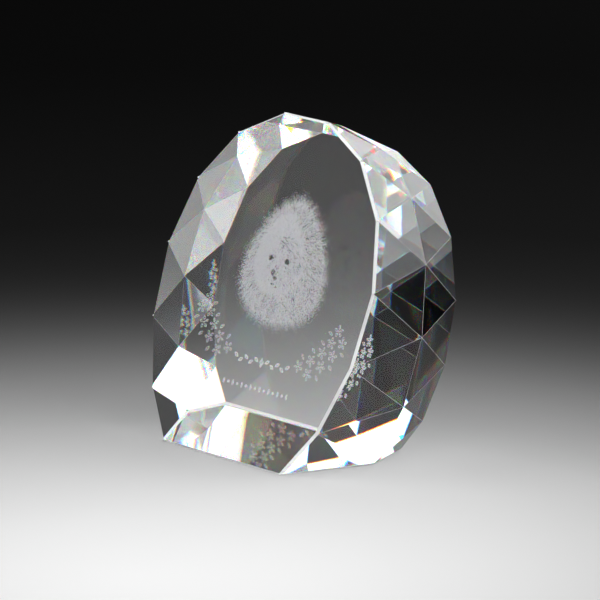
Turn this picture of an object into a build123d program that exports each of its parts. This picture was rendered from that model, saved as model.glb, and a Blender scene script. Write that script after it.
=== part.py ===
"""Crystal award: one faceted block of clear crystal with a picture engraved inside it.

The block is an egg-shaped oval seen from the front. Its polished front face leans back, a smaller
rear face lies behind it, and a zigzag of flat triangular facets joins the two faces through a
girdle, the ring of corners half way back. The block is ground flat underneath and stands on that.
A laser has marked the inside: a dog's head, a spray of blossoms on each side and two rows of
ornament below. Each marked zone is a group of solids, and the block has a cavity of the same
shape around it.

Millimetres. X runs to the right along the front face, Y to the back, Z up. The origin is the
middle of the block's outline, on the ground.
"""
from build123d import *
from math import cos, degrees, radians, sin
import os

# The three rings of corners. Each is an oval that lies in a leaning plane: its half width, its
# half height and the height of its centre are measured in that plane, from the ground up, and its
# setback is how far behind the front face's foot the plane meets the ground. The egg value widens
# it above its centre, and below its centre it is fuller than an ellipse: a power of the sine.
ring_corners = 16

front_lean = 18.9
front_half_width = 38.0
front_half_height = 47.4
front_centre_height = 38.2
front_egg = 0.085
front_lower_fullness = 0.9

girdle_lean = 10.8
girdle_half_width = 38.9
girdle_half_height = 45.3
girdle_centre_height = 32.7
girdle_setback = 23.9
girdle_egg = 0.045
girdle_lower_fullness = 0.745

rear_lean = 10.5
rear_half_width = 34.9
rear_half_height = 40.6
rear_centre_height = 30.9
rear_setback = 37.8
rear_egg = 0.053
rear_lower_fullness = 0.83

# The sharp edge round the ground face is broken by this much.
base_arris = 0.5

# The marked plane is parallel to the front face, this far behind it.
marked_depth = 10.5
mark_thickness = 0.7

# The dog's head: a face in front of a thick mane, each an oval with a pointed top.
portrait_centre_height = 49.6
mane_half_width = 15.7
mane_half_height = 16.4
mane_thickness = 3.0
face_half_width = 9.0
face_half_height = 10.5
face_thickness = 5.0
face_rise = 1.6
face_turn = -2.4
eye_spacing = 5.8
eye_radius = 0.6
nose_drop = 3.4
nose_radius = 0.9

# The sprays of blossoms follow an oval about a point on the middle line.
spray_half_width = 26.0
spray_half_height = 19.0
spray_centre_height = 41.0
spray_start = 32.0
blossoms_per_spray = 9
petals_per_blossom = 5
petal_length = 1.15
petal_width = 0.7
blossom_eye_radius = 0.3
leaf_length = 1.7
leaf_width = 0.7
spray_clearance = 0.15

# The upper ornament is a scroll of leaves about a lozenge, and the lower one a row of beads.
scroll_height = 24.6
scroll_half_length = 10.5
scroll_leaves = 5
scroll_lozenge = 2.6
scroll_leaf_tilt = 32.0
row_height = 18.2
row_half_length = 11.5
row_beads = 15
bead_height = 1.5
bead_width = 0.8


def oval_corners(half_width, half_height, centre_height, egg, lower_fullness, first_step):
    """The corners of one oval in its own plane, clockwise from the top, from first_step on."""
    corners = []
    for number in range(ring_corners):
        angle = radians(360 / ring_corners * (number + first_step))
        side = abs(sin(angle)) ** (1 if cos(angle) > 0 else lower_fullness)
        across = (1 if sin(angle) > 0 else -1) * half_width * side * (1 + egg * cos(angle))
        corners.append((across, centre_height + half_height * cos(angle)))
    return corners


def lean_back(corners, lean, setback):
    """Those corners in space, in a plane that leans back from the ground."""
    tilt = radians(lean)
    return [Vector(across, setback + up * sin(tilt), up * cos(tilt)) for across, up in corners]


def facet(*corners):
    """A flat facet with these corners."""
    return Face(Wire.make_polygon(corners))


def make_body():
    """The whole block, with a broken edge round its ground face."""
    front_oval = oval_corners(
        front_half_width,
        front_half_height,
        front_centre_height,
        front_egg,
        front_lower_fullness,
        first_step=0.5,
    )
    girdle_oval = oval_corners(
        girdle_half_width,
        girdle_half_height,
        girdle_centre_height,
        girdle_egg,
        girdle_lower_fullness,
        first_step=0,
    )
    rear_oval = oval_corners(
        rear_half_width,
        rear_half_height,
        rear_centre_height,
        rear_egg,
        rear_lower_fullness,
        first_step=0.5,
    )
    front = lean_back(front_oval, front_lean, 0)
    girdle = lean_back(girdle_oval, girdle_lean, girdle_setback)
    rear = lean_back(rear_oval, rear_lean, rear_setback)
    facets = [facet(*front), facet(*reversed(rear))]
    for here in range(ring_corners):
        after = (here + 1) % ring_corners
        # A ring corner lies between two girdle corners, and a girdle corner between two ring ones.
        facets.append(facet(front[here], girdle[here], girdle[after]))
        facets.append(facet(front[here], girdle[after], front[after]))
        facets.append(facet(rear[here], girdle[after], girdle[here]))
        facets.append(facet(rear[here], rear[after], girdle[after]))
    body = split(Solid(Shell(facets)), Plane.XY, keep=Keep.TOP)
    ground_face = body.faces().sort_by(Axis.Z)[0]
    return chamfer(ground_face.edges(), base_arris)


def marked_plane():
    """The plane of the marks: x across, y up the front face, z out towards the viewer."""
    outward = Vector(0, -cos(radians(front_lean)), sin(radians(front_lean)))
    return Plane(origin=outward * -marked_depth, x_dir=(1, 0, 0), z_dir=outward)


def pointed_oval(half_width, half_height):
    """An oval with a blunt point at the top, fullest below its middle."""
    outline = Spline(
        (0, half_height),
        (-0.55 * half_width, 0.66 * half_height),
        (-0.98 * half_width, -0.1 * half_height),
        (-0.62 * half_width, -0.86 * half_height),
        (0, -half_height),
        (0.62 * half_width, -0.86 * half_height),
        (0.98 * half_width, -0.1 * half_height),
        (0.55 * half_width, 0.66 * half_height),
        (0, half_height),
    )
    return make_face(outline)


def make_face_marks():
    """The dog's face, with the eyes and the nose left clear."""
    head = extrude(pointed_oval(face_half_width, face_half_height), face_thickness / 2, both=True)
    for side in (-1, 1):
        eye = Cylinder(eye_radius, 2 * face_thickness)
        head -= Pos(side * eye_spacing / 2, 0, 0) * eye
    head -= Pos(0, -nose_drop, 0) * Cylinder(nose_radius, 2 * face_thickness)
    return Pos(face_turn, portrait_centre_height + face_rise, 0) * head


def make_mane_marks():
    """The mane round the face, open where the face and its clear eyes and nose are."""
    mane = extrude(pointed_oval(mane_half_width, mane_half_height), mane_thickness / 2, both=True)
    room = extrude(pointed_oval(face_half_width, face_half_height), face_thickness, both=True)
    return Pos(0, portrait_centre_height, 0) * (mane - Pos(face_turn, face_rise, 0) * room)


def leaf(length, width):
    """A flat leaf that starts at the origin and points along x."""
    outline = Polyline(
        (0, 0),
        (0.3 * length, width / 2),
        (0.7 * length, 0.4 * width),
        (length, 0),
        (0.7 * length, -0.4 * width),
        (0.3 * length, -width / 2),
        close=True,
    )
    return extrude(make_face(outline), mark_thickness / 2, both=True)


def blossom():
    """Petals round a small round eye, clear of it and of each other."""
    petal_start = blossom_eye_radius + spray_clearance
    pieces = [Cylinder(blossom_eye_radius, mark_thickness)]
    for number in range(petals_per_blossom):
        turn = Rot(0, 0, 360 / petals_per_blossom * number + 90)
        pieces.append(turn * Pos(petal_start, 0, 0) * leaf(petal_length, petal_width))
    return pieces


def make_spray(side):
    """Two close rows of blossoms along an oval, with leaves out from the notches between them."""
    pieces = []
    blossom_reach = blossom_eye_radius + spray_clearance + petal_length
    spacing = 2 * blossom_reach + spray_clearance
    row_offset = spacing * sin(radians(60)) / 2
    # The rows are packed tightest where the oval curves most, at its side.
    step = degrees(spacing / 2 / (spray_half_height - row_offset))
    leaf_start = row_offset + 0.75 * blossom_reach
    for number in range(blossoms_per_spray):
        angle = spray_start + step * number
        across = spray_half_width * sin(radians(angle))
        up = spray_centre_height - spray_half_height * cos(radians(angle))
        place = Pos(across, up, 0) * Rot(0, 0, angle)
        inward = 1 if number % 2 == 0 else -1
        pieces += [place * Pos(0, inward * row_offset, 0) * piece for piece in blossom()]
        if 0 < number < blossoms_per_spray - 1:
            leaf_foot = Rot(0, 0, -90 * inward) * Pos(leaf_start, 0, 0)
            pieces.append(place * leaf_foot * leaf(leaf_length, leaf_width))
    if side < 0:
        pieces = [mirror(piece, Plane.YZ) for piece in pieces]
    return pieces


def make_scroll():
    """A lozenge in the middle, and a row of leaves out to each side."""
    outline = Polyline(
        (0, scroll_lozenge / 2),
        (scroll_lozenge / 3, 0),
        (0, -scroll_lozenge / 2),
        (-scroll_lozenge / 3, 0),
        close=True,
    )
    lozenge = extrude(make_face(outline), mark_thickness / 2, both=True)
    pieces = [Pos(0, scroll_height, 0) * lozenge]
    pitch = (scroll_half_length - scroll_lozenge / 2) / scroll_leaves
    for number in range(scroll_leaves):
        tilt = scroll_leaf_tilt * (1 if number % 2 == 0 else -1)
        place = Pos(scroll_lozenge / 2 + number * pitch, scroll_height, 0) * Rot(0, 0, tilt)
        right = place * leaf(0.9 * pitch, 0.45 * pitch)
        pieces += [right, mirror(right, Plane.YZ)]
    return pieces


def make_bead_row():
    """Upright beads, tall and short in turn."""
    pieces = []
    for number in range(row_beads):
        across = row_half_length * (2 * number / (row_beads - 1) - 1)
        height = bead_height * (1 if number % 2 == 0 else 0.5)
        pieces.append(Pos(across, row_height, 0) * Box(bead_width, height, mark_thickness))
    return pieces


body = make_body()
outline = body.bounding_box()
settle = Pos(-outline.center().X, -outline.center().Y, -outline.min.Z)

marks = {
    "engraved_face": [make_face_marks()],
    "engraved_mane": [make_mane_marks()],
    "left_blossom_spray": make_spray(-1),
    "right_blossom_spray": make_spray(1),
    "scroll_ornament": make_scroll(),
    "bead_row_ornament": make_bead_row(),
}

os.makedirs("parts", exist_ok=True)
block = body
for node, pieces in marks.items():
    placed = [marked_plane() * piece for piece in pieces]
    block -= placed
    export_step(settle * Compound(placed), f"parts/{node}.step")
export_step(settle * block, "parts/crystal_block.step")

size = outline.size
print(f"crystal block {size.X:.1f} wide, {size.Y:.1f} deep, {size.Z:.1f} high")
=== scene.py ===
import bpy
import bmesh
import math
import numpy as np
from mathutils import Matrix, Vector


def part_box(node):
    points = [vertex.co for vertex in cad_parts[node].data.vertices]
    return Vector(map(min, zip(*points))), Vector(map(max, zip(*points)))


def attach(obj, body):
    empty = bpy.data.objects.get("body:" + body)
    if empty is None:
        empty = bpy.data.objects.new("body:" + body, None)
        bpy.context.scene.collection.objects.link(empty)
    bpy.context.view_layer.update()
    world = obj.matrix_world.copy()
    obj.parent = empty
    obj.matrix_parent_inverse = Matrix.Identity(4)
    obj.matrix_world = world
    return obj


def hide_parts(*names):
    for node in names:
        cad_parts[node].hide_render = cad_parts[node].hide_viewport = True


# A crystal award: one faceted block of clear crystal, with a dog's head, two blossom sprays and
# two rows of ornament marked inside it by laser. Sizes in the dictionaries are in millimetres and
# angles in degrees.

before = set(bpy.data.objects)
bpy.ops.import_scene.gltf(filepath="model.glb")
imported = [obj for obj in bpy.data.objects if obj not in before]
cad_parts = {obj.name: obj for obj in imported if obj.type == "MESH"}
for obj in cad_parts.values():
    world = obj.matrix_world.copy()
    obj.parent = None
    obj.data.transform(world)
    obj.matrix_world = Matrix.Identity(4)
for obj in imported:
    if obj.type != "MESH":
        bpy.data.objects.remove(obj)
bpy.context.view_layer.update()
mm = 0.001
print("frame loaded:", ", ".join(sorted(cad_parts)))


class Wire:
    # One socket of a material. node() adds any node, and dividing wires adds a Math node.
    def __init__(self, tree, socket=None):
        self.tree = tree
        self.socket = socket

    def node(self, kind, settings=None, sockets=None, output=0):
        made = self.tree.nodes.new("ShaderNode" + kind)
        for name, value in (settings or {}).items():
            if name == "stops":  # a colour ramp's places and colours
                ramp = made.color_ramp
                while len(ramp.elements) < len(value):
                    ramp.elements.new(1.0)
                for element, (place, colour) in zip(ramp.elements, value):
                    element.position = place
                    element.color = (*colour, 1.0)
            elif name == "interpolation":
                made.color_ramp.interpolation = value
            else:
                setattr(made, name, value)
        for name, value in (sockets or {}).items():
            if isinstance(value, Wire):
                self.tree.links.new(value.socket, made.inputs[name])
            else:
                made.inputs[name].default_value = value
        return Wire(self.tree, made.outputs[output] if made.outputs else None)

    def __truediv__(self, other):
        return self.node("Math", {"operation": "DIVIDE"}, {0: self, 1: other})

    def __rtruediv__(self, other):
        return self.node("Math", {"operation": "DIVIDE"}, {0: other, 1: self})


def newMaterial(name):
    material = bpy.data.materials.new(name)
    material.use_nodes = True
    material.node_tree.nodes.clear()
    return material, Wire(material.node_tree)


def finishMaterial(wire, shader):
    wire.node("OutputMaterial", None, {"Surface": shader})


crystal = {
    "index": 1.517,
    "spread": 0.008,  # how far the index differs for red and for blue
    "tint": (0.985, 0.992, 0.99),
    "shadowTint": (0.5, 0.5, 0.51),  # what a surface lets through of a lamp's light
    "smearScale": 60.0,
    "smearDetail": 4.0,
    "smearRange": (0.6, 0.8),  # handling marks start and are full at these values of the noise
    "smearRoughness": 0.006,
    "frontFilm": 0.11,  # share of the front face that dust and handling have made faintly white
    "filmColour": (0.9, 0.9, 0.9),
}


def lampsPass(wire, shader):
    # Lamps reach through the surface to what is inside the block.
    clear = wire.node("BsdfTransparent", None, {"Color": (*crystal["shadowTint"], 1.0)})
    isShadow = wire.node("LightPath", output="Is Shadow Ray")
    return wire.node("MixShader", None, {0: isShadow, 1: shader, 2: clear})


def crystalMaterial(name, film):
    # Clear crystal. Where light first meets it, red, green and blue bend by their own index.
    material, wire = newMaterial(name)
    place = wire.node("TexCoord", output="Object")
    smears = wire.node("TexNoise", None, {
        "Vector": place, "Scale": crystal["smearScale"], "Detail": crystal["smearDetail"]})
    polish = wire.node("MapRange", None, {
        "Value": smears, "From Min": crystal["smearRange"][0], "From Max": crystal["smearRange"][1],
        "To Min": 0.0, "To Max": crystal["smearRoughness"]})
    split = None
    for channel in range(3):
        colour = [0.0, 0.0, 0.0, 1.0]
        colour[channel] = crystal["tint"][channel]
        part = wire.node("BsdfGlass", None, {
            "Color": colour, "Roughness": polish,
            "IOR": crystal["index"] + crystal["spread"] * (channel - 1)})
        split = part if split is None else wire.node("AddShader", None, {0: split, 1: part})
    plain = wire.node("BsdfGlass", None, {
        "Color": (*crystal["tint"], 1.0), "Roughness": polish, "IOR": crystal["index"]})
    isFirst = wire.node("LightPath", output="Is Camera Ray")
    surface = wire.node("MixShader", None, {0: isFirst, 1: plain, 2: split})
    if film:
        dust = wire.node("BsdfDiffuse", None, {"Color": (*crystal["filmColour"], 1.0)})
        surface = wire.node("MixShader", None, {0: film, 1: surface, 2: dust})
    finishMaterial(wire, lampsPass(wire, surface))
    return material


arris = {
    "frost": 0.8,  # share of the bevel that is ground and not polished
    "frostColour": (0.95, 0.96, 0.97),
    "grainScale": 900.0,
    "grainDetail": 3.0,
    "roughnessRange": (0.12, 0.3),
}


def arrisMaterial():
    # The fine bevels along the edges: polished less, so they catch light along their whole length.
    material, wire = newMaterial("softArris")
    place = wire.node("TexCoord", output="Object")
    grain = wire.node("TexNoise", None, {
        "Vector": place, "Scale": arris["grainScale"], "Detail": arris["grainDetail"]})
    rough = wire.node("MapRange", None, {
        "Value": grain, "To Min": arris["roughnessRange"][0], "To Max": arris["roughnessRange"][1]})
    glass = wire.node("BsdfGlass", None, {
        "Color": (1.0, 1.0, 1.0, 1.0), "Roughness": rough, "IOR": crystal["index"]})
    frost = wire.node("BsdfDiffuse", None, {"Color": (*arris["frostColour"], 1.0)})
    edge = wire.node("MixShader", None, {0: arris["frost"], 1: glass, 2: frost})
    finishMaterial(wire, lampsPass(wire, edge))
    return material


laser = {
    "body": (0.42, 0.42, 0.44),
    "roughness": 0.6,
    "shades": [(0.3, (0.72, 0.72, 0.77)), (0.62, (0.9, 0.9, 0.93))],  # colours of the painted glow, where the noise is low, high
    "patchScale": 1400.0,
    "patchDetail": 2.0,
    "portraitPaintedGlow": 0.36,  # painted glow: emission standing in for the light that the marks pass on to each other
    # the same painted glow, stronger, for the ornaments' marks
    "ornamentPaintedGlow": 0.5,
}


def laserMaterial(name, paintedGlow):
    # Tiny fractures: white, a little uneven from shot to shot, with a painted glow standing in for the
    # light scattered between them.
    material, wire = newMaterial(name)
    place = wire.node("TexCoord", output="Object")
    patches = wire.node("TexNoise", None, {
        "Vector": place, "Scale": laser["patchScale"], "Detail": laser["patchDetail"]})
    shade = wire.node("ValToRGB", {"stops": laser["shades"]}, {0: patches})
    # The emission is a painted glow: the marks shine by themselves in the noise's colours, though they are
    # no lamp.
    shader = wire.node("BsdfPrincipled", None, {
        "Base Color": (*laser["body"], 1.0), "Roughness": laser["roughness"],
        "Emission Color": shade, "Emission Strength": paintedGlow})
    finishMaterial(wire, shader)
    return material


block = {
    "corners": 16,
    "front": {"halfWidth": 38.0, "halfHeight": 47.4, "centre": 38.2, "lean": 18.9, "setback": 0.0,
              "egg": 0.085, "fullness": 0.9, "firstStep": 0.5},
    "girdle": {"halfWidth": 38.9, "halfHeight": 45.3, "centre": 32.7, "lean": 10.8, "setback": 23.9,
               "egg": 0.045, "fullness": 0.745, "firstStep": 0.0},
    "rear": {"halfWidth": 34.9, "halfHeight": 40.6, "centre": 30.9, "lean": 10.5, "setback": 37.8,
             "egg": 0.053, "fullness": 0.83, "firstStep": 0.5},
    "rimArris": 0.55,
    "facetArris": 0.02,
    "groundArris": 0.5,
}

frontLean = math.radians(block["front"]["lean"])
frontNormal = np.array([0.0, -math.cos(frontLean), math.sin(frontLean)])


def ovalRing(ring):
    # across = halfWidth |sin a|^p (1 + egg cos a), up = centre + halfHeight cos a, with the angle a
    # from the top and p = 1 above the centre. The plane leans back about a line on the ground.
    angle = 2 * math.pi * (np.arange(block["corners"]) + ring["firstStep"]) / block["corners"]
    power = np.where(np.cos(angle) > 0, 1.0, ring["fullness"])
    across = ring["halfWidth"] * np.sign(np.sin(angle)) * np.abs(np.sin(angle)) ** power
    across = across * (1 + ring["egg"] * np.cos(angle))
    up = ring["centre"] + ring["halfHeight"] * np.cos(angle)
    lean = math.radians(ring["lean"])
    return mm * np.column_stack([across, ring["setback"] + up * math.sin(lean), up * math.cos(lean)])


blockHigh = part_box("crystal_block")[1]
rearRing = ovalRing(block["rear"])
footY = blockHigh.y - rearRing[:, 1].max()  # where the front face's plane meets the ground


def blockMesh():
    # Three rings of corners joined by triangles, closed by the front and rear faces, cut at the ground.
    count = block["corners"]
    corners = np.vstack([ovalRing(block["front"]), ovalRing(block["girdle"]), rearRing])
    corners[:, 1] += footY
    here = np.arange(count)
    after = (here + 1) % count
    girdleHere = count + here
    girdleAfter = count + after
    rearHere = 2 * count + here
    rearAfter = 2 * count + after
    facets = np.vstack([
        np.column_stack([here, girdleHere, girdleAfter]),
        np.column_stack([here, girdleAfter, after]),
        np.column_stack([rearHere, girdleAfter, girdleHere]),
        np.column_stack([rearHere, rearAfter, girdleAfter]),
    ])
    faces = [here.tolist(), rearHere[::-1].tolist(), *facets.tolist()]
    mesh = bpy.data.meshes.new("facetedBlock")
    mesh.from_pydata(corners.tolist(), [], faces)
    work = bmesh.new()
    work.from_mesh(mesh)
    everything = work.verts[:] + work.edges[:] + work.faces[:]
    bmesh.ops.bisect_plane(work, geom=everything, plane_co=(0, 0, 0), plane_no=(0, 0, 1), clear_inner=True)
    bmesh.ops.holes_fill(work, edges=[edge for edge in work.edges if edge.is_boundary])
    bmesh.ops.recalc_face_normals(work, faces=work.faces)
    work.to_mesh(mesh)
    work.free()
    return mesh


def weighArrises(mesh):
    # The bevel's width on each edge, as a share of the widest: the ground, the front rim, the rest.
    count = len(mesh.vertices)
    places = np.zeros(count * 3)
    mesh.vertices.foreach_get("co", places)
    places = places.reshape(count, 3)
    ends = np.zeros(len(mesh.edges) * 2, int)
    mesh.edges.foreach_get("vertices", ends)
    ends = ends.reshape(-1, 2)
    hair = 0.001 * mm
    onFront = np.abs((places - (0, footY, 0)) @ frontNormal) < hair
    onGround = places[:, 2] < hair
    widths = np.full(len(ends), block["facetArris"])
    widths[onFront[ends].all(1)] = block["rimArris"]
    widths[onGround[ends].all(1)] = block["groundArris"]
    attribute = mesh.attributes.new("bevel_weight_edge", "FLOAT", "EDGE")
    attribute.data.foreach_set("value", (widths / widths.max()).astype(np.float32))
    return widths.max() * mm


def makeBlock():
    mesh = blockMesh()
    widest = weighArrises(mesh)
    piece = bpy.data.objects.new("facetedBlock", mesh)
    bpy.context.scene.collection.objects.link(piece)
    mesh.materials.append(crystalMaterial("polishedCrystal", 0.0))
    mesh.materials.append(arrisMaterial())
    mesh.materials.append(crystalMaterial("frontCrystal", crystal["frontFilm"]))
    normals = np.zeros(len(mesh.polygons) * 3)
    mesh.polygons.foreach_get("normal", normals)
    isFront = normals.reshape(-1, 3) @ frontNormal > 0.9999
    mesh.polygons.foreach_set("material_index", np.where(isFront, 2, 0).astype(np.int32))
    bevel = piece.modifiers.new("arrises", "BEVEL")
    bevel.limit_method = "WEIGHT"
    bevel.width = widest
    bevel.segments = 1
    bevel.material = 1  # the arris material
    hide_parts("crystal_block")
    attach(piece, "root")
    print("block made:", len(mesh.polygons), "facets before the arrises")


marked = {"depth": 10.5, "portraitHeight": 49.6}


def leanBack(vectors):
    # (across, up, out) to X, Y, Z: up runs up the leaning front face, out towards the viewer.
    across, up, out = vectors[:, 0], vectors[:, 1], vectors[:, 2]
    return np.column_stack([
        across,
        up * math.sin(frontLean) - out * math.cos(frontLean),
        up * math.cos(frontLean) + out * math.sin(frontLean)])


def dotPiece(name, marks, seed, material, *nodes, grain=None, stretch=1.0):
    # Each mark is a tetrahedron, its corners radius * (corner turned by a random frame) from its
    # centre. Where marks have a grain, the frame's first axis runs along it and is stretched.
    points, radii = marks
    random = np.random.default_rng(seed)
    centres = mm * leanBack(points - (0, 0, marked["depth"])) + (0, footY, 0)
    count = len(centres)
    first = random.normal(size=(count, 3)) if grain is None else leanBack(grain)
    first /= np.linalg.norm(first, axis=1)[:, None]
    second = random.normal(size=(count, 3))
    second -= first * (first * second).sum(1)[:, None]
    second /= np.linalg.norm(second, axis=1)[:, None]
    frames = np.stack([stretch * first, second, np.cross(first, second)], 1)
    corners = np.array([[1, 1, 1], [1, -1, -1], [-1, 1, -1], [-1, -1, 1]]) / math.sqrt(3)
    placed = centres[:, None, :] + mm * radii[:, None, None] * (corners @ frames)
    faces = np.array([[0, 1, 2], [0, 2, 3], [0, 3, 1], [1, 3, 2]])
    loops = (4 * np.arange(count)[:, None, None] + faces[None]).ravel()
    mesh = bpy.data.meshes.new(name)
    mesh.vertices.add(4 * count)
    mesh.vertices.foreach_set("co", placed.ravel().astype(np.float32))
    mesh.loops.add(len(loops))
    mesh.loops.foreach_set("vertex_index", loops.astype(np.int32))
    mesh.polygons.add(len(loops) // 3)
    mesh.polygons.foreach_set("loop_start", np.arange(0, len(loops), 3, dtype=np.int32))
    mesh.update(calc_edges=True)
    mesh.materials.append(material)
    piece = bpy.data.objects.new(name, mesh)
    bpy.context.scene.collection.objects.link(piece)
    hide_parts(*nodes)
    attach(piece, "root")
    print(name, "has", count, "marks")


coat = {
    "mane": {"halfWidth": 15.2, "halfHeight": 15.9, "strands": 8600, "length": 2.3, "rise": 1.2,
             "inner": 0.42},
    "face": {"halfWidth": 8.8, "halfHeight": 10.2, "strands": 6200, "length": 1.3, "rise": 3.0,
             "inner": 0.0},
    "turn": -2.4,
    "faceRise": 1.6,
    "fullness": 0.96,  # the ovals are this wide, less the point above and more of it below
    "point": 0.3,
    "rootReach": 0.93,  # where the outermost strands start, as a share of the oval
    "lengthInside": 0.45,  # a strand's share of its length at the middle, which grows outwards
    "lengthGrowth": 0.75,
    "lengthRange": (0.6, 1.15),
    "droop": 0.35,
    "spread": 0.45,
    "curl": 0.35,
    "perStrand": 5,
    "jitter": 0.05,  # how far a mark strays along its strand
    "scatter": 0.25,  # how far it strays in depth
    "tilt": 0.15,
    "dot": 0.085,
    "dotRange": (0.6, 1.25),
    "rootSize": 1.15,  # a mark's share of its size at the root, which falls by the taper to the tip
    "taper": 0.5,
    "stretch": 3.0,
    "thinning": 0.35,  # share of the marks left out in the strokes
    "specking": 0.9,  # share of the marks left out in the nose and the mouth
    # Small ovals: across, up, half width, half height.
    "eyes": [(-4.3, 0.3, 0.95, 0.75), (1.4, 0.1, 0.85, 0.75)],
    "nose": [(-2.6, -3.2, 1.0, 0.85), (-1.7, -4.4, 0.7, 0.5), (-2.5, -6.0, 0.8, 0.3),
             (-1.2, -6.5, 0.6, 0.3)],
    "strokes": [(-2.8, 5.6, 2.4, 0.3), (-2.4, 4.4, 2.6, 0.28), (-2.9, 6.8, 1.6, 0.25),
                (-6.6, -3.6, 0.35, 3.0), (5.0, -0.8, 0.45, 1.8), (-1.2, -9.0, 0.35, 2.4)],
}


def pointedOval(shape, radius, angle):
    # across = W r sin a (fullness - point cos a), up = H r cos a: full below, pointed above.
    width = coat["fullness"] - coat["point"] * np.cos(angle)
    across = shape["halfWidth"] * radius * np.sin(angle) * width
    return across, shape["halfHeight"] * radius * np.cos(angle)


def insideAny(across, up, ovals):
    # True where a point is inside one of the small ovals.
    found = np.zeros(len(across), bool)
    for centreAcross, centreUp, halfWidth, halfHeight in ovals:
        found |= ((across - centreAcross) / halfWidth) ** 2 + ((up - centreUp) / halfHeight) ** 2 < 1
    return found


def furMarks(shape, centre, seed):
    # Strands start evenly over a pointed oval, run outwards and droop, and carry marks that thin out
    # along them: place = start + length s (outward + bend s), with s from 0 to 1.
    random = np.random.default_rng(seed)
    tries = 4 * shape["strands"]
    radius = np.sqrt(random.uniform(shape["inner"] ** 2, 1.0, tries))
    angle = random.uniform(0, 2 * math.pi, tries)
    evenness = coat["fullness"] - coat["point"] * np.cos(angle) ** 3
    keep = random.uniform(0, coat["fullness"] + coat["point"], tries) < evenness
    radius, angle = radius[keep][:shape["strands"]], angle[keep][:shape["strands"]]
    count = len(radius)
    across, up = pointedOval(shape, radius * coat["rootReach"], angle)
    heading = np.arctan2(up / shape["halfHeight"] - coat["droop"], across / shape["halfWidth"])
    heading += random.normal(0, coat["spread"], count)
    length = shape["length"] * (coat["lengthInside"] + coat["lengthGrowth"] * radius)
    length *= random.uniform(*coat["lengthRange"], count)
    bend = random.normal(0, coat["curl"], count)
    along = np.linspace(0, 1, coat["perStrand"])[None, :]
    along = along + random.uniform(-coat["jitter"], coat["jitter"], (count, coat["perStrand"]))
    outward = np.stack([np.cos(heading), np.sin(heading)], 1)
    sideways = np.stack([-np.sin(heading), np.cos(heading)], 1)
    curl = (bend[:, None] * along)[:, :, None] * sideways[:, None, :]
    start = np.stack([across, up], 1)[:, None, :]
    flat = (start + (length[:, None] * along)[:, :, None] * (outward[:, None, :] + curl)).reshape(-1, 2)
    grain = (outward[:, None, :] + 2 * curl).reshape(-1, 2)
    grain = np.column_stack([grain, random.normal(0, coat["tilt"], len(grain))])
    relative = (flat[:, 0] / shape["halfWidth"]) ** 2 + (flat[:, 1] / shape["halfHeight"]) ** 2
    out = shape["rise"] * (1 - relative) + random.normal(0, coat["scatter"], len(flat))
    radii = coat["dot"] * np.repeat(random.uniform(*coat["dotRange"], count), coat["perStrand"])
    radii *= coat["rootSize"] - coat["taper"] * along.ravel()
    points = np.column_stack([flat[:, 0] + centre[0], flat[:, 1] + centre[1], out])
    clear = insideAny(points[:, 0], points[:, 1], coat["eyes"])
    specked = insideAny(points[:, 0], points[:, 1], coat["nose"])
    thin = insideAny(points[:, 0], points[:, 1], coat["strokes"])
    chance = random.uniform(0, 1, len(flat))
    shown = ~clear & ~(specked & (chance < coat["specking"])) & ~(thin & (chance < coat["thinning"]))
    points[:, 1] += marked["portraitHeight"]
    return (points[shown], radii[shown]), grain[shown]


def makePortrait(material):
    mane, grain = furMarks(coat["mane"], (0.0, 0.0), 11)
    dotPiece("maneMarks", mane, 12, material, "engraved_mane", grain=grain, stretch=coat["stretch"])
    face, grain = furMarks(coat["face"], (coat["turn"], coat["faceRise"]), 21)
    dotPiece("faceMarks", face, 22, material, "engraved_face", grain=grain, stretch=coat["stretch"])


foliage = {
    "ends": 0.02,  # how much of a leaf's length is bare at each end
    "edgeShare": 0.45,  # share of its marks that stand on its edge
    "edgePower": 0.8,
}


def leafPatch(count, length, width, random):
    # Marks spread over a leaf: (L s, W/2 u sin(pi s)^edgePower), with s from 0 to 1 and u from -1 to 1.
    share = random.uniform(foliage["ends"], 1 - foliage["ends"], count)
    side = random.uniform(-1, 1, count)
    side = np.where(random.uniform(0, 1, count) < foliage["edgeShare"], np.sign(side), side)
    edge = np.sin(math.pi * share) ** foliage["edgePower"]
    return np.column_stack([length * share, width / 2 * side * edge])


def ovalPatch(count, width, height, random):
    # Marks spread evenly over an oval: (W/2 r cos a, H/2 r sin a), with r the root of an even draw.
    radius = np.sqrt(random.uniform(0, 1, count))
    angle = random.uniform(0, 2 * math.pi, count)
    return np.column_stack([width / 2 * radius * np.cos(angle), height / 2 * radius * np.sin(angle)])


def turned(flat, degrees):
    # Anticlockwise about the origin: (x cos a - y sin a, x sin a + y cos a).
    angle = math.radians(degrees)
    turn = np.array([[math.cos(angle), math.sin(angle)], [-math.sin(angle), math.cos(angle)]])
    return flat @ turn


def scattered(flat, zone, random):
    # A flat pattern's marks with their depths and sizes: depth = scatter n, size = dot u, with n normal.
    points = np.column_stack([flat, random.normal(0, zone["scatter"], len(flat))])
    return points, zone["dot"] * random.uniform(*zone["dotRange"], len(flat))


spray = {
    "halfWidth": 26.0, "halfHeight": 19.0, "centre": 41.0, "start": 32.0,
    "blossoms": 9, "petals": 5, "petalLength": 1.15, "petalWidth": 0.7, "eye": 0.3, "gap": 0.15,
    "leafLength": 1.7, "leafWidth": 0.7,
    "leafStart": 0.75,  # share of a blossom's reach between the leaf and the row on its side
    "perPetal": 55, "perEye": 24, "perLeaf": 80, "dot": 0.08, "dotRange": (0.7, 1.2), "scatter": 0.12,
}


def blossomPatch(random):
    # A round eye, with petals evenly round it.
    shapes = [ovalPatch(spray["perEye"], 2 * spray["eye"], 2 * spray["eye"], random)]
    for petal in range(spray["petals"]):
        flat = leafPatch(spray["perPetal"], spray["petalLength"], spray["petalWidth"], random)
        flat[:, 0] += spray["eye"] + spray["gap"]
        shapes.append(turned(flat, 360 / spray["petals"] * petal + 90))
    return np.vstack(shapes)


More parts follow.
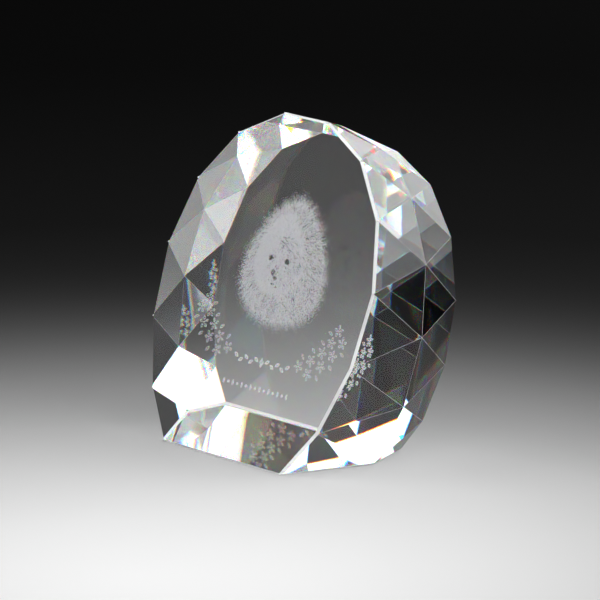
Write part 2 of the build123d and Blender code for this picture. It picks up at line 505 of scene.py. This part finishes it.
def sprayMarks(side, seed):
    # Blossoms stand along (A sin a, centre - B cos a), inside it and outside it in turn and packed as
    # closely as their petals allow. All but the first and last have a leaf on the other side.
    random = np.random.default_rng(seed)
    reach = spray["eye"] + spray["gap"] + spray["petalLength"]
    spacing = 2 * reach + spray["gap"]
    offset = spacing * math.sin(math.pi / 3) / 2
    step = math.degrees(spacing / 2 / (spray["halfHeight"] - offset))
    patches = []
    for number in range(spray["blossoms"]):
        angle = spray["start"] + step * number
        foot = np.array([spray["halfWidth"] * math.sin(math.radians(angle)),
                         spray["centre"] - spray["halfHeight"] * math.cos(math.radians(angle))])
        inward = 1 if number % 2 == 0 else -1
        patches.append(turned(blossomPatch(random) + (0, inward * offset), angle) + foot)
        if 0 < number < spray["blossoms"] - 1:
            flat = leafPatch(spray["perLeaf"], spray["leafLength"], spray["leafWidth"], random)
            flat[:, 0] += offset + spray["leafStart"] * reach
            patches.append(turned(flat, angle - 90 * inward) + foot)
    return scattered(np.vstack(patches) * (side, 1), spray, random)


scroll = {
    "height": 24.6, "halfLength": 10.5, "leaves": 5, "lozenge": 2.6, "tilt": 32.0,
    "leafLength": 0.9, "leafWidth": 0.45,  # as shares of the leaves' spacing
    "perLeaf": 220, "perLozenge": 260, "dot": 0.08, "dotRange": (0.8, 1.2), "scatter": 0.1,
}


def scrollMarks(seed):
    # A lozenge |x| / (h/3) + |y| / (h/2) < 1, and leaves out to each side, tilted up and down in turn.
    random = np.random.default_rng(seed)
    half = scroll["lozenge"] / 2
    square = random.uniform(-1, 1, (scroll["perLozenge"], 2))
    lozenge = np.column_stack([(square[:, 0] + square[:, 1]) / 2 * scroll["lozenge"] / 3,
                               (square[:, 0] - square[:, 1]) / 2 * half])
    patches = [lozenge]
    pitch = (scroll["halfLength"] - half) / scroll["leaves"]
    length = scroll["leafLength"] * pitch
    width = scroll["leafWidth"] * pitch
    for number in range(scroll["leaves"]):
        tilt = scroll["tilt"] * (1 if number % 2 == 0 else -1)
        flat = turned(leafPatch(scroll["perLeaf"], length, width, random), tilt)
        flat[:, 0] += half + number * pitch
        patches += [flat, flat * (-1, 1)]
    return scattered(np.vstack(patches) + (0, scroll["height"]), scroll, random)


beadRow = {
    "height": 18.2, "halfLength": 11.5, "beads": 15, "tall": 1.5, "short": 0.75, "width": 0.8,
    "perBead": 110, "dot": 0.08, "dotRange": (0.8, 1.2), "scatter": 0.1,
}


def beadMarks(seed):
    # Ovals of marks along a line, tall and short in turn.
    random = np.random.default_rng(seed)
    patches = []
    for number in range(beadRow["beads"]):
        tall = beadRow["tall"] if number % 2 == 0 else beadRow["short"]
        across = beadRow["halfLength"] * (2 * number / (beadRow["beads"] - 1) - 1)
        bead = ovalPatch(beadRow["perBead"], beadRow["width"], tall, random)
        patches.append(bead + (across, beadRow["height"]))
    return scattered(np.vstack(patches), beadRow, random)


def makeOrnaments(material):
    dotPiece("leftSprayMarks", sprayMarks(-1, 31), 32, material, "left_blossom_spray")
    dotPiece("rightSprayMarks", sprayMarks(1, 33), 34, material, "right_blossom_spray")
    dotPiece("scrollMarks", scrollMarks(41), 42, material, "scroll_ornament")
    dotPiece("beadMarks", beadMarks(51), 52, material, "bead_row_ornament")


makeBlock()
makePortrait(laserMaterial("softFractures", laser["portraitPaintedGlow"]))
makeOrnaments(laserMaterial("denseFractures", laser["ornamentPaintedGlow"]))

view = {
    "azimuth": 48.9, "elevation": 13.2, "distance": 1453.0, "aimHeight": 35.2, "farthest": 20000.0,
    "lens": 360.0,
}


def towards(azimuth, elevation):
    # The direction from the object to a place seen at this azimuth and elevation, in degrees.
    a, e = math.radians(azimuth), math.radians(elevation)
    return Vector((math.sin(a) * math.cos(e), -math.cos(a) * math.cos(e), math.sin(e)))


def makeCamera():
    data = bpy.data.cameras.new("camera")
    data.lens = view["lens"]
    data.clip_end = view["farthest"] * mm
    camera = bpy.data.objects.new("camera", data)
    bpy.context.scene.collection.objects.link(camera)
    back = towards(view["azimuth"], view["elevation"])
    camera.location = Vector((0, 0, view["aimHeight"] * mm)) + back * view["distance"] * mm
    camera.rotation_euler = back.to_track_quat("Z", "Y").to_euler()
    bpy.context.scene.camera = camera


floor = {
    "halfSide": 2500.0,
    "gap": 0.1,  # the air under the ground face, which keeps that face a mirror from inside
    "paintedLightPool": (32.0, 126.0),  # azimuth and distance of the middle of the pool of light painted on the floor
    "stops": [(0.0, 0.85), (60.0, 0.76), (135.0, 0.43), (180.0, 0.235), (225.0, 0.086), (270.0, 0.025),
              (315.0, 0.0125), (365.0, 0.0092), (600.0, 0.0036)],  # distance from there, painted shade of the floor
}


def makeFloor():
    side = floor["halfSide"] * mm
    mesh = bpy.data.meshes.new("floor")
    low = -floor["gap"] * mm
    corners = [(-side, -side, low), (side, -side, low), (side, side, low), (-side, side, low)]
    mesh.from_pydata(corners, [], [(0, 1, 2, 3)])
    piece = bpy.data.objects.new("floor", mesh)
    bpy.context.scene.collection.objects.link(piece)
    # The floor's colour is painted light: a pale pool painted in front of the block, darker with distance
    # from its middle.
    material, wire = newMaterial("paintedLightFloor")
    place = wire.node("TexCoord", output="Object")
    middle = towards(floor["paintedLightPool"][0], 0) * floor["paintedLightPool"][1] * mm
    offset = wire.node("VectorMath", {"operation": "SUBTRACT"}, {0: place, 1: middle})
    reach = floor["stops"][-1][0] * mm
    share = wire.node("VectorMath", {"operation": "LENGTH"}, {0: offset}, output="Value") / reach
    stops = [(distance * mm / reach, (shade,) * 3) for distance, shade in floor["stops"]]
    shade = wire.node("ValToRGB", {"interpolation": "B_SPLINE", "stops": stops}, {0: share})
    finishMaterial(wire, wire.node("BsdfPrincipled", None, {
        "Base Color": shade, "Roughness": 1.0, "Specular IOR Level": 0.0}))
    mesh.materials.append(material)


lamps = {
    # azimuth, elevation, distance, side lengths, brightness of the panel
    "overhead": (86.5, 60.4, 700.0, (1146.0, 700.0), 1.9),
    "leftHigh": (-37.5, 48.9, 700.0, (413.0, 614.0), 1.9),
    "rightBack": (123.5, 30.9, 700.0, (1089.0, 640.0), 1.9),
    "behind": (210.8, 9.3, 700.0, (592.0, 1011.0), 1.15),
}


def makeLamps():
    for name, (azimuth, elevation, distance, sides, brightness) in lamps.items():
        data = bpy.data.lights.new(name, "AREA")
        data.shape = "RECTANGLE"
        data.size = sides[0] * mm
        data.size_y = sides[1] * mm
        data.energy = brightness * math.pi * data.size * data.size_y
        lamp = bpy.data.objects.new(name, data)
        bpy.context.scene.collection.objects.link(lamp)
        direction = towards(azimuth, elevation)
        lamp.location = Vector((0, 0, view["aimHeight"] * mm)) + direction * distance * mm
        lamp.rotation_euler = direction.to_track_quat("Z", "Y").to_euler()


studio = {
    "shade": (0.012, 0.012, 0.012),
    "bounces": 32,
    "glossyBounces": 24,
    "transmissionBounces": 28,
}


def makeWorld():
    world = bpy.data.worlds.new("studio")
    world.use_nodes = True
    world.node_tree.nodes["Background"].inputs["Color"].default_value = (*studio["shade"], 1.0)
    bpy.context.scene.world = world
    cycles = bpy.context.scene.cycles
    cycles.max_bounces = studio["bounces"]
    cycles.glossy_bounces = studio["glossyBounces"]
    cycles.transmission_bounces = studio["transmissionBounces"]
    bpy.context.scene.view_settings.view_transform = "Standard"


makeCamera()
makeFloor()
makeLamps()
makeWorld()
print("stage set")
